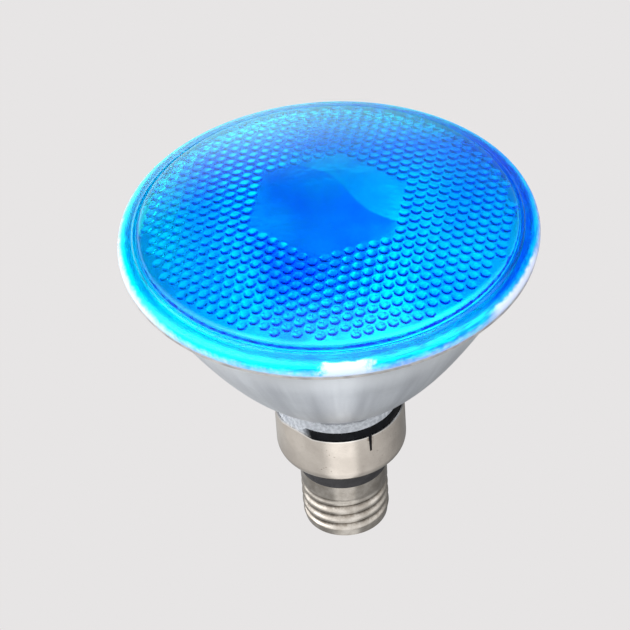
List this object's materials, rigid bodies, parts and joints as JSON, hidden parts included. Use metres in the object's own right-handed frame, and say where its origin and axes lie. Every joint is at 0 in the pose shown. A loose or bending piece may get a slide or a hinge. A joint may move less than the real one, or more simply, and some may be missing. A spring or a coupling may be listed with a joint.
{
  "type": "par spotlight bulb",
  "caption": "Blue reflector spotlight bulb with a domed stippled lens, silvered glass bowl, nickel skirt, black insulating ring and E27 screw base.",
  "frame": {"origin": "middle of the lowest face of the centre contact, at the tip of the screw base", "axes": "+Z along the lamp's axis from the base to the lens; -Y is the side that faces the camera in the picture, with the skirt's slot 25 degrees to its right"},
  "size_m": [0.1215, 0.1214, 0.1264],
  "materials": {
    "blue_glass": "pressed glass, blue coated, smooth outside and stippled inside",
    "silvered_glass": "pressed glass silvered inside, grey sheen outside",
    "clear_glass": "clear drawn glass",
    "nickel_iron": "drawn, slightly oxidised",
    "braze": "bright braze",
    "tungsten": "matt grey drawn wire",
    "nickel_plate": "nickel plated, satin with fine pits",
    "black_sealant": "glossy black sealant",
    "black_ring": "matt black moulding",
    "black_glass": "black glass, glossy",
    "contact_brass": "stamped, tinned in the middle",
    "solder": "dull solder",
    "lead_wire": "copper-clad wire",
    "fuse_glass": "clear fuse sleeve"
  },
  "bodies": {
    "root": {"lens": "blue_glass", "reflector": "silvered_glass", "exhaust_tube": "clear_glass", "ferrule_left": "nickel_iron", "ferrule_right": "nickel_iron", "ferrule_braze_left": "braze", "ferrule_braze_right": "braze", "lead_post_left": "nickel_iron", "lead_post_right": "nickel_iron", "filament": "tungsten", "skirt": "nickel_plate", "neck_sealant": "black_sealant", "insulating_ring": "black_ring", "screw_shell": "nickel_plate", "base_insulator": "black_glass", "centre_contact": "contact_brass", "centre_solder": "solder", "fused_lead": "lead_wire", "fuse": "fuse_glass", "contact_lead": "lead_wire", "shell_lead": "lead_wire", "shell_weld": "solder"}
  },
  "joints": []
}
